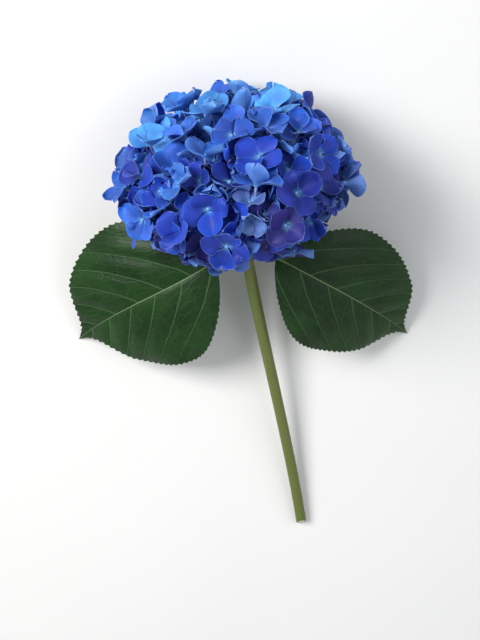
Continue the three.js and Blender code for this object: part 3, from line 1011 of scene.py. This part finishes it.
def add_bead(builder, centre, place, draw):
    """The unopened true flower in the eye: a small ball with four low lobes."""
    facing = place["facing"]
    side, other = square_to(facing)
    radius = BEAD_RADIUS * draw.between(*BEAD_SIZES) * (INNER_BEAD if place["inner"] else 1)
    height = radius * mix(*BEAD_SQUASH, place["pressed"])
    spin = draw.turn()
    polar = math.pi * np.arange(1, BEAD_ROWS)[:, None] / BEAD_ROWS
    turn = TURN * np.arange(BEAD_SIDES) / BEAD_SIDES
    lobed = 1 - LOBE_DEPTH * np.abs(np.cos(2 * (turn - spin))) ** 6 * np.sin(polar) ** 0.5
    flat = (radius * lobed * np.sin(polar))[..., None]
    around = np.outer(np.cos(turn), side) - np.outer(np.sin(turn), other)
    high = height * (np.cos(polar) + BEAD_CENTRE)
    points = centre + flat * around + high[..., None] * facing
    ends = centre + np.outer([height * BEAD_TOP, -height * BEAD_FOOT], facing)
    index = np.arange((BEAD_ROWS - 1) * BEAD_SIDES).reshape(BEAD_ROWS - 1, BEAD_SIDES)
    turned = np.roll(index, -1, axis=1)
    faces = walls(index[::-1])
    faces += [[a, b, index.size] for a, b in zip(index[0], turned[0])]
    faces += [[b, a, index.size + 1] for a, b in zip(index[-1], turned[-1])]
    tint = mix(BEAD_TINT, BEAD_VIOLET, draw.between(0, BEAD_MOST_VIOLET))
    builder.add(np.concatenate([points.reshape(-1, 3), ends]), faces, tint)


def add_stalk(builder, centre, place, draw):
    """A floret's thin stalk, from the end of its branch to the back of its eye."""
    root, facing = place["root"], place["facing"]
    reach = np.linalg.norm(centre - root)
    bend = centre - facing * reach * draw.between(*STALK_BENDS)
    curve = Bezier([root, bend, centre - facing * STALK_END])
    shares = np.linspace(0, 1, STALK_RINGS)
    flare = STALK_FLARE * np.clip((shares - FLARE_FROM) / (1 - FLARE_FROM), 0, 1)
    radii = mix(*STALK_RADII, shares) + flare
    paler = smoothstep(np.repeat(shares, STALK_SIDES), *STALK_PALING)[:, None]
    tints = mix(BRANCH_TINT, STALK_TINT, paler) * draw.between(*STALK_SHADES)
    builder.add_tube(curve.point(shares), radii, STALK_SIDES, tints)


def add_branch(builder, start, end, number):
    """A branch that sags a little to one side, and the knot that it ends in."""
    sag = unit(np.cross(end - start, UP)) * RAY_SAG * math.sin(3 * number)
    curve = Bezier([start, (start + end) / 2 + sag, end])
    shares = np.linspace(0, 1, RAY_RINGS)
    radii = mix(*RAY_RADII, shares) + RAY_FLARE * bell((shares - 1) / RAY_FLARE_LENGTH)
    builder.add_tube(curve.point(shares), radii, RAY_SIDES, BRANCH_TINT)
    places, radii = zip(*KNOT_FORM)
    path = end + np.outer(places, unit(end - start))
    builder.add_tube(path, radii, KNOT_SIDES, KNOT_TINT)


def add_branches(builder):
    """The swollen top of the flower stalk, and a branch from it to each knot."""
    start = in_part(HUB_MIDDLE * UP)
    for number, knot in enumerate(knot_places()):
        add_branch(builder, start, in_part(knot), number)
    heights, radii = zip(*HUB_FORM)
    path = np.array([in_part(height * UP) for height in heights])
    builder.add_tube(path, radii, HUB_SIDES, HUB_TINT)


# Stem
def stem_curve():
    top = in_part((HUB_BASE - JOINT_GAP) * UP)
    top_pull = in_part((HUB_BASE - STEM_REACH) * UP)
    end_rise = np.array([0, math.cos(STEM_END_RISE), math.sin(STEM_END_RISE)])
    return Bezier([top, top_pull, STEM_END + STEM_REACH * end_rise, STEM_END])


def stem_radius(s, length):
    """The stem's radius at distances from its top, with the swollen joint."""
    swell = JOINT_SWELL * bell((s - JOINT_PLACE) / JOINT_SPREAD)
    return mix(STEM_TOP_RADIUS, STEM_RADIUS, s / length) + swell


def cut_rings(last, tangent):
    """The rings of the cut end, from the bark inwards to a sunk pith."""
    middle = last.mean(axis=0)
    rings = np.array([middle + (last - middle) * share for share in CUT_SHARES])
    rings[PITH_FROM:] -= tangent * PITH_DEPTH
    return rings


def stem_tints(s, scar):
    """Browner near the joint, darker in the scar, and pale wood and pith at the cut."""
    browning = (1 - smoothstep(s, *BROWNING_ENDS))[:, None]
    # the stem's green here is partly painted shade, darker than in full light
    body = mix(STEM_TINT_WITH_PAINTED_SHADE, STEM_BROWN, browning * BROWNING)
    body = mix(body, SCAR_TINT, scar[:, None] * SCAR_STRENGTH)
    ends = np.array([CUT_RIM_TINT, CUT_WOOD_TINT, CUT_PITH_TINT, CUT_PITH_TINT])
    return np.repeat(np.concatenate([body, ends]), STEM_SIDES, axis=0)


def add_stem(builder):
    """The stem: slightly ridged, with a leaf scar round its joint, and cut off at a slant."""
    curve = stem_curve()
    shares = np.linspace(0, 1, STEM_RINGS)
    s = shares * curve.length
    tangents = curve.tangent(shares)
    scar = bell((s - JOINT_PLACE) / SCAR_WIDTH)
    radii = stem_radius(s, curve.length) - SCAR_DEPTH * scar
    angles = TURN * np.arange(STEM_SIDES) / STEM_SIDES
    rings = []
    for centre, tangent, radius, share in zip(curve.point(shares), tangents, radii, shares):
        side = unit(np.cross(UP, tangent))
        up = np.cross(tangent, side)
        ridged = radius * (1 + RIDGE_DEPTH * np.cos(RIDGES * angles + 2 * share))
        above = ridged * np.sin(angles)
        slant = -math.tan(CUT_SLANT) * smoothstep(share, 1 - CUT_STRETCH / curve.length, 1)
        ring = centre + np.outer(ridged * np.cos(angles), side) + np.outer(above, up)
        rings.append(ring + np.outer(slant * above, tangent))
    rings = np.concatenate([rings, cut_rings(rings[-1], tangents[-1])])
    rings[..., 2] = np.maximum(rings[..., 2], 0)
    along = np.append(s, [curve.length] * len(CUT_SHARES))
    points, faces, maps = closed_rings(rings, along)
    builder.add(points, faces, stem_tints(s, scar), maps)
    for side in (-1, 1):
        add_bud(builder, curve, side)


def add_bud(builder, curve, side):
    """A resting bud in the angle of a leaf, with the lip of its outer scales."""
    place = (JOINT_PLACE - BUD_ABOVE) / curve.length
    outwards = ACROSS * side
    pointing = unit(outwards * math.sin(BUD_LEAN) - curve.tangent(place)[0] * math.cos(BUD_LEAN))
    foot = curve.point(place)[0] + outwards * STEM_RADIUS
    heights = np.linspace(0, 1, BUD_RINGS)
    profile = np.interp(heights, *zip(*BUD_FORM))
    profile = profile + SCALE_LIP * bell((heights - SCALE_END) / SCALE_LIP_LENGTH)
    path = foot + np.outer(heights * BUD_LENGTH, pointing)
    tints = mix(BUD_TINT, BUD_TIP_TINT, np.repeat(heights, BUD_SIDES)[:, None] ** 2)
    builder.add_tube(path, profile * BUD_RADIUS, BUD_SIDES, tints)


# Leaves
def width_share(u):
    narrowing = 1 - TIP_NARROWING * smoothstep(u, TIP_FROM, TIP_FULL)
    past = (u - WIDEST_AT) / (1 - WIDEST_AT)
    base = np.sin(math.pi / 2 * np.minimum(u, WIDEST_AT) / WIDEST_AT) ** BASE_FULLNESS
    return np.where(u < WIDEST_AT, base, (1 - past**2) * narrowing)


def vein_count(u, across, width):
    """A count that is whole on the side veins, which slant forwards."""
    reach = 2 * np.abs(across) / width
    sweep = mix(*VEIN_SWEEP, u) * reach + VEIN_CURVE * reach**2
    return VEIN_PAIRS * (u - sweep) + VEIN_STAGGER * np.sign(across)


def leaf_frame(midrib, u):
    points = midrib.point(u)
    along = midrib.tangent(u)
    side = unit(np.cross(along, UP))
    return points, along, side, np.cross(side, along)


def teeth(u, margin):
    """How far the teeth stand out along the margin."""
    phase = (margin / margin[-1] * TEETH) % 1
    saw = np.where(phase < TOOTH_PEAK, phase / TOOTH_PEAK, (1 - phase) / (1 - TOOTH_PEAK))
    return TOOTH_DEPTH * saw**1.3 * smoothstep(u, *TEETH_RISE) * (1 - smoothstep(u, *TEETH_FADE))


def blade_rise(u, v, across, count, draw):
    """How a blade rises beside its midrib: bend, quilting, ruffled margin and groove."""
    reach = np.abs(v)
    arch = np.sin(math.pi * u)
    pillow = 2 * np.abs(np.sin(math.pi * count)) ** 0.8 - 1
    fade = np.sin(math.pi * np.minimum(reach, 1)) * arch
    groove = GROOVE_DEPTH * bell(across / GROOVE_WIDTH) * (1 - smoothstep(u, *GROOVE_FADE))
    ruffle = RUFFLE * reach**3 * np.sin(TURN * (RUFFLES * u + draw.share())) * arch
    bend = BLADE_RISE * np.abs(across) - BLADE_DROOP * across**2
    return bend + QUILT * pillow * fade + ruffle * np.where(v > 0, 1, -1) - groove


def leaf_form(leaf, rows, columns):
    """A blade's middle surface, with each point's place on it."""
    midrib = Bezier(leaf["midrib"])
    shares = np.linspace(0, 1, rows + 1)
    points, along, side, up = (part[:, None] for part in leaf_frame(midrib, shares))
    u = shares[:, None]
    s = np.linspace(-1, 1, 2 * columns + 1)
    v = (np.sign(s) * np.abs(s) ** MIDDLE_CROWDING)[None, :]
    half = np.maximum(NARROWEST, leaf["width"] * width_share(u)) / 2
    forward = midrib.length * np.gradient(u, axis=0)
    outward = np.gradient(half, axis=0)
    step = np.hypot(forward, outward)
    tooth = teeth(u, np.cumsum(step, axis=0)) * np.abs(v) ** 14
    across = v * half + np.sign(v) * tooth * forward / step
    count = vein_count(u, across, leaf["width"])
    rise = blade_rise(u, v, across, count, Draw(leaf["seed"]))
    lean = tooth * (TOOTH_LEAN - outward / step)
    grid = points + across[..., None] * side + rise[..., None] * up + lean[..., None] * along
    grid[..., 2] = np.maximum(grid[..., 2], BLADE_THICK / 2 + FLOOR_GAP)
    return {"grid": grid, "count": count, "across": across, "u": u, "reach": np.abs(v)}


def add_leaf(builder, leaf):
    rows, columns = LEAF_GRID
    form = leaf_form(leaf, rows, columns)
    grid, across = form["grid"], form["across"]
    thickness = np.broadcast_to(BLADE_THICK * (1 - 0.5 * form["reach"] ** 8), across.shape)
    sheet, front, back, rim = closed_sheet(grid, thickness)
    maps = np.stack([form["count"], across, np.broadcast_to(form["u"], across.shape)], axis=-1)
    maps = np.concatenate([maps.reshape(-1, 3)] * 2)
    tints = np.repeat([LEAF_TINT, UNDERSIDE_TINT], across.size, axis=0)
    face_up = grid_normals(grid)[rows // 2, columns][2] > 0
    slots = [int(not face_up)] * len(front) + [int(face_up)] * len(back) + [0] * len(rim)
    builder.add(sheet, front + back + rim, tints, maps, slots)
    add_petiole(builder, leaf, Bezier(leaf["midrib"]))


def add_petiole(builder, leaf, midrib):
    """The leaf's stalk, which goes on as a rib under the blade."""
    curve = stem_curve()
    joint = curve.point(JOINT_PLACE / curve.length)[0]
    stalk = Bezier([joint, leaf["stalk_pull"], midrib.point(0)[0]])
    shares = np.linspace(0, 1, PETIOLE_RINGS)[:-1]
    u = np.linspace(0, RIB_END, RIB_RINGS)
    points, _, _, up = leaf_frame(midrib, u)
    ribs = mix(np.where(u == 0, PETIOLE_RADIUS, RIB_RADIUS), RIB_TIP_RADIUS, u / RIB_END)
    ribs[1] = mix(PETIOLE_RADIUS, RIB_RADIUS, 0.5)
    sink = mix(RIB_SINK * ribs + RIB_START, ribs + RIB_CLEAR, smoothstep(u, 0, RIB_SUNK_AT))
    path = np.concatenate([stalk.at(shares), points - up * sink[:, None]])
    radii = np.concatenate([PETIOLE_RADIUS + PETIOLE_FLARE * (1 - shares) ** 2, ribs])
    points, faces, maps = tube(path, radii, PETIOLE_SIDES)
    points[:, 2] = np.maximum(points[:, 2], FLOOR_GAP)
    # the stalk's green carries painted shade, to match the stem
    builder.add(points, faces, PETIOLE_TINT_WITH_PAINTED_SHADE, maps, 2)


# Materials
class Nodes:
    """Wires the nodes of a material or a world."""

    def __init__(self, owner, shader="Principled BSDF"):
        owner.use_nodes = True
        self.owner = owner
        self.tree = owner.node_tree
        self.shader = self.tree.nodes[shader]
        self.coordinates = self.node("TexCoord", {}).outputs
        self.place = self.coordinates["Object"]

    def node(self, kind, inputs, **settings):
        """A node with its settings, and with values or links on its inputs."""
        made = self.tree.nodes.new("ShaderNode" + kind)
        for key, value in settings.items():
            setattr(made, key, value)
        for key, value in inputs.items():
            self.put(made.inputs[key], value)
        return made

    def put(self, socket, value):
        if isinstance(value, bpy.types.NodeSocket):
            self.tree.links.new(value, socket)
        elif isinstance(value, np.ndarray):
            socket.default_value = (*value, 1.0)
        else:
            socket.default_value = value

    def set(self, **values):
        """Values or links on the shader's own sockets."""
        for key, value in values.items():
            self.put(self.shader.inputs[key.replace("_", " ")], value)

    def tint(self):
        return self.node("Attribute", {}, attribute_name="tint").outputs["Color"]

    def map(self):
        return self.split(self.node("Attribute", {}, attribute_name="map").outputs["Vector"])

    def split(self, vector):
        return self.node("SeparateXYZ", {0: vector}).outputs

    def joined(self, x, y):
        return self.node("CombineXYZ", {0: x, 1: y}).outputs[0]

    def math(self, operation, a, b=0.0, c=0.0):
        return self.node("Math", {0: a, 1: b, 2: c}, operation=operation).outputs[0]

    def add(self, a, b):
        return self.math("ADD", a, b)

    def times(self, a, b):
        return self.math("MULTIPLY", a, b)

    def ramp(self, value, low, high, to_low=0.0, to_high=1.0):
        """A smooth step, up from 0 to 1 between low and high unless told otherwise."""
        inputs = {0: value, 1: low, 2: high, 3: to_low, 4: to_high}
        return self.node("MapRange", inputs, interpolation_type="SMOOTHSTEP").outputs[0]

    def fading(self, value, low, high, end=0.0):
        return self.ramp(value, low, high, 1.0, end)

    def grain(self, scale, low=0.0, high=1.0, detail=2.0):
        """Noise with its middle spread out between low and high."""
        return self.ramp(self.noise(scale, detail), 0.3, 0.7, low, high)

    def blend(self, share, a, b, how="MIX"):
        inputs = {0: share, 6: a, 7: b}
        return self.node("Mix", inputs, data_type="RGBA", blend_type=how).outputs[2]

    def shaded(self, tint, shade):
        return self.blend(1.0, tint, shade, "MULTIPLY")

    def noise(self, scale, detail=2.0, vector=None):
        inputs = {"Vector": vector or self.place, "Scale": scale, "Detail": detail}
        return self.node("TexNoise", inputs).outputs[0]

    def edges(self, scale, width, vector=None):
        """A net of thin lines, each 1 in its middle."""
        inputs = {"Vector": vector or self.place, "Scale": scale}
        cells = self.node("TexVoronoi", inputs, feature="DISTANCE_TO_EDGE")
        return self.fading(cells.outputs["Distance"], 0.0, width)

    def bump(self, height, strength, distance):
        inputs = {"Strength": strength, "Distance": distance, "Height": height}
        self.set(Normal=self.node("Bump", inputs).outputs[0])


def sepal_material():
    """Veins that fan out from the eye, a net between them, soft mottling, and a rim made paler as a
    painted glow of light through the thin edge.
    """
    n = Nodes(bpy.data.materials.new("sepal"))
    tint = n.tint()
    across, along, edge_glow = n.map()
    wander = n.math("MULTIPLY_ADD", n.noise(scale=260), 0.16, -0.08)
    to_vein = n.math("PINGPONG", n.times(n.add(across, wander), SEPAL_VEINS), 0.5)
    vein = n.times(n.fading(to_vein, 0.03, 0.2), n.fading(along, 0.35, 0.95, end=0.25))
    pattern = n.math("MAXIMUM", vein, n.times(n.edges(scale=520, width=0.16), 0.45))
    base = n.blend(n.times(pattern, 0.42), tint, n.shaded(tint, VEIN_SHADE))
    base = n.shaded(base, n.grain(scale=120, detail=3.0, low=0.9, high=1.1))
    outmost = n.math("MAXIMUM", n.math("ABSOLUTE", across), n.math("MULTIPLY_ADD", along, 2.0, -1.0))
    # painted light: the margin made paler, as a glow of light through the thin edge
    rim = n.times(n.ramp(outmost, 0.86, 1.02), edge_glow)
    n.set(Base_Color=n.blend(rim, base, EDGE_GLOW_TINT), Roughness=0.5, Specular_IOR_Level=0.22)
    n.set(Subsurface_Weight=0.16, Subsurface_Radius=(0.5, 0.6, 0.8), Subsurface_Scale=1.2 * MM)
    n.set(Sheen_Weight=0.03, Sheen_Roughness=0.4, Sheen_Tint=SHEEN_TINT)
    n.bump(n.times(pattern, -1.0), strength=0.5, distance=0.12 * MM)
    return n.owner


def waxy_material(name, roughness, speckle, low):
    """Skin of stalks and beads: the mesh's own tint with fine speckle."""
    n = Nodes(bpy.data.materials.new(name))
    base = n.shaded(n.tint(), n.grain(speckle, low, high=1.1, detail=4.0))
    n.set(Base_Color=base, Roughness=roughness, Subsurface_Weight=0.1, Subsurface_Scale=MM)
    n.bump(n.noise(scale=speckle * 2), strength=0.25, distance=0.1 * MM)
    return n.owner


def stem_material():
    """Green skin with browner patches, small brown flecks and fine grooves along it."""
    n = Nodes(bpy.data.materials.new("stem_skin"))
    turn, length, _ = n.map()
    stretched = n.joined(n.times(turn, 22.0), n.times(length, 0.22))
    cells = n.node("TexVoronoi", {"Vector": stretched, "Scale": 1.0}, feature="F1")
    fleck = n.fading(cells.outputs["Distance"], 0.08, 0.2)
    patches = n.ramp(n.noise(scale=38, detail=3.0), 0.35, 0.68)
    # the browner patches carry the stem's painted shade
    base = n.blend(n.times(patches, 0.45), n.tint(), STEM_PATCH_TINT_WITH_PAINTED_SHADE)
    base = n.blend(n.times(fleck, 0.7), base, FLECK_TINT)
    n.set(Base_Color=base, Roughness=n.grain(scale=90, low=0.38, high=0.6))
    grooves = n.noise(scale=2.0, vector=stretched)
    n.bump(n.add(grooves, n.times(fleck, 0.5)), strength=0.4, distance=0.2 * MM)
    return n.owner


def leaf_veins(n):
    """Masks of a leaf's midrib, its side veins and the rungs between them."""
    count, across, along = n.map()
    reach = n.math("ABSOLUTE", across)
    wander = n.math("MULTIPLY_ADD", n.noise(scale=70), 0.1, -0.05)
    to_vein = n.math("PINGPONG", n.add(n.add(count, wander), 6.0), 0.5)
    side_vein = n.fading(to_vein, 0.008, n.ramp(reach, 0.0, 50.0, 0.042, 0.022))
    side_vein = n.times(side_vein, n.fading(reach, 36.0, 54.0, end=0.35))
    side_vein = n.times(side_vein, n.ramp(count, -0.4, -0.2))
    rib = n.fading(reach, 0.1, n.ramp(along, 0.0, 1.0, 0.95, 0.3))
    rungs = n.edges(scale=1.0, width=0.07, vector=n.joined(n.times(count, 2.3), n.times(across, 0.17)))
    return rib, side_vein, rungs


def leaf_material(name, tints, roughness, relief):
    """A leaf's face or underside: dark and light patches, and finer and finer veins."""
    n = Nodes(bpy.data.materials.new(name))
    rib, side_vein, rungs = leaf_veins(n)
    dark, light, veins, ribs = tints
    net = n.edges(scale=380, width=0.12)
    base = n.blend(n.grain(scale=26, detail=3.0), dark, light)
    base = n.blend(n.times(net, 0.08), base, veins * 0.7)
    base = n.blend(n.times(rungs, 0.14), base, veins * 0.85)
    base = n.blend(n.times(side_vein, 0.7), base, veins)
    base = n.blend(rib, base, ribs)
    n.set(Base_Color=base, Roughness=n.grain(60, *roughness), Specular_IOR_Level=0.26)
    height = n.add(n.times(net, -0.45), n.times(n.edges(scale=1100, width=0.18), -0.12))
    height = n.math("SUBTRACT", height, n.times(rungs, 0.8))
    n.bump(n.math("SUBTRACT", height, side_vein), strength=relief, distance=0.2 * MM)
    return n.owner


def floor_material():
    n = Nodes(bpy.data.materials.new("pale_floor"))
    n.set(Base_Color=n.shaded(FLOOR_TINT, n.grain(scale=3.0, low=0.97)), Roughness=0.7)
    return n.owner


# The set
def add_floor():
    mesh = bpy.data.meshes.new("floor")
    corners = [(-1, -1, 0), (1, -1, 0), (1, 1, 0), (-1, 1, 0)]
    mesh.from_pydata((FLOOR_HALF * np.array(corners)).tolist(), [], [[0, 1, 2, 3]])
    mesh.materials.append(floor_material())
    floor = link("floor", mesh)


def aim(thing, place, target, up):
    back = (Vector(place) - Vector(target)).normalized()
    side = Vector(up).cross(back).normalized()
    turn = Matrix((side, back.cross(side), back)).transposed().to_4x4()
    thing.matrix_world = Matrix.Translation(place) @ turn


def add_light(name, place, size, power, tint):
    lamp = bpy.data.lights.new(name, "AREA")
    lamp.size = size
    lamp.energy = power
    lamp.color = tint
    aim(link(name, lamp), place, LIGHT_TARGET, (0, 1, 0))


def add_sky():
    """A plain pale sky, a little darker at the horizon."""
    n = Nodes(bpy.data.worlds.new("studio"), "Background")
    height = n.split(n.coordinates["Generated"])[2]
    inputs = {0: height, 1: 0.0, 2: SKY_HEIGHT, 3: SKY_LOW, 4: SKY_HIGH}
    n.set(Color=SKY_TINT, Strength=n.node("MapRange", inputs).outputs[0])
    bpy.context.scene.world = n.owner


def add_camera():
    """A camera that looks down, leaning towards the top of the head, and turned."""
    lens = bpy.data.cameras.new("camera")
    lens.lens = CAMERA_LENS
    holder = link("camera", lens)
    away = np.array([0, math.sin(CAMERA_TILT), math.cos(CAMERA_TILT)])
    place = np.array(CAMERA_TARGET) + CAMERA_DISTANCE * away
    aim(holder, place.tolist(), CAMERA_TARGET, (math.sin(CAMERA_ROLL), math.cos(CAMERA_ROLL), 0))
    bpy.context.scene.camera = holder


def finish_piece(piece, slot, *nodes):
    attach(piece, "root")
    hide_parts(*nodes)


def add_head(waxy):
    """The florets in groups, from the low end of the head up, and what carries them."""
    traits = Draw(TRAIT_SEED)
    sepal = sepal_material()
    places = sorted(crowded_places(), key=lambda place: place["centre"][1])
    groups = [[] for _ in HEAD_PARTS]
    for k, place in enumerate(places):
        groups[k * len(groups) // len(places)].append(place)
    beads, stalks = Builder(), Builder()
    for part, members in zip(HEAD_PARTS, groups):
        builder = Builder()
        for place in members:
            add_floret(builder, beads, stalks, place, traits)
        finish_piece(builder.build("florets_" + part, [sepal]), "sepals", "flower_head")
    bead = waxy_material("bead_skin", roughness=0.35, speckle=900, low=0.88)
    finish_piece(beads.build("floret_beads", [bead]), "sepals", "flower_head")
    add_branches(stalks)
    finish_piece(stalks.build("floret_stalks", [waxy]), "stem", "flower_head")


def add_leaves(waxy):
    face = (LEAF_DARK, LEAF_TINT, LEAF_VEIN_TINT, LEAF_RIB_TINT)
    underside = [UNDERSIDE_TINT * share for share in UNDERSIDE_SHADES]
    skins = [
        leaf_material("leaf_face", face, (0.4, 0.48), 0.5),
        leaf_material("leaf_underside", underside, (0.6, 0.75), -0.5),
        waxy,
    ]
    for leaf in (LEFT_LEAF, RIGHT_LEAF):
        builder = Builder()
        add_leaf(builder, leaf)
        finish_piece(builder.build(leaf["name"] + "_fine", skins), "leaf", leaf["name"])


def main():
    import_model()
    bpy.context.scene.view_settings.view_transform = "Standard"
    waxy = waxy_material("stalk_skin", roughness=0.45, speckle=400, low=0.85)
    add_head(waxy)
    stem = Builder()
    add_stem(stem)
    finish_piece(stem.build("stem_fine", [stem_material()]), "stem", "stem")
    add_leaves(waxy)
    add_floor()
    for light in LIGHTS:
        add_light(**light)
    add_sky()
    add_camera()


main()
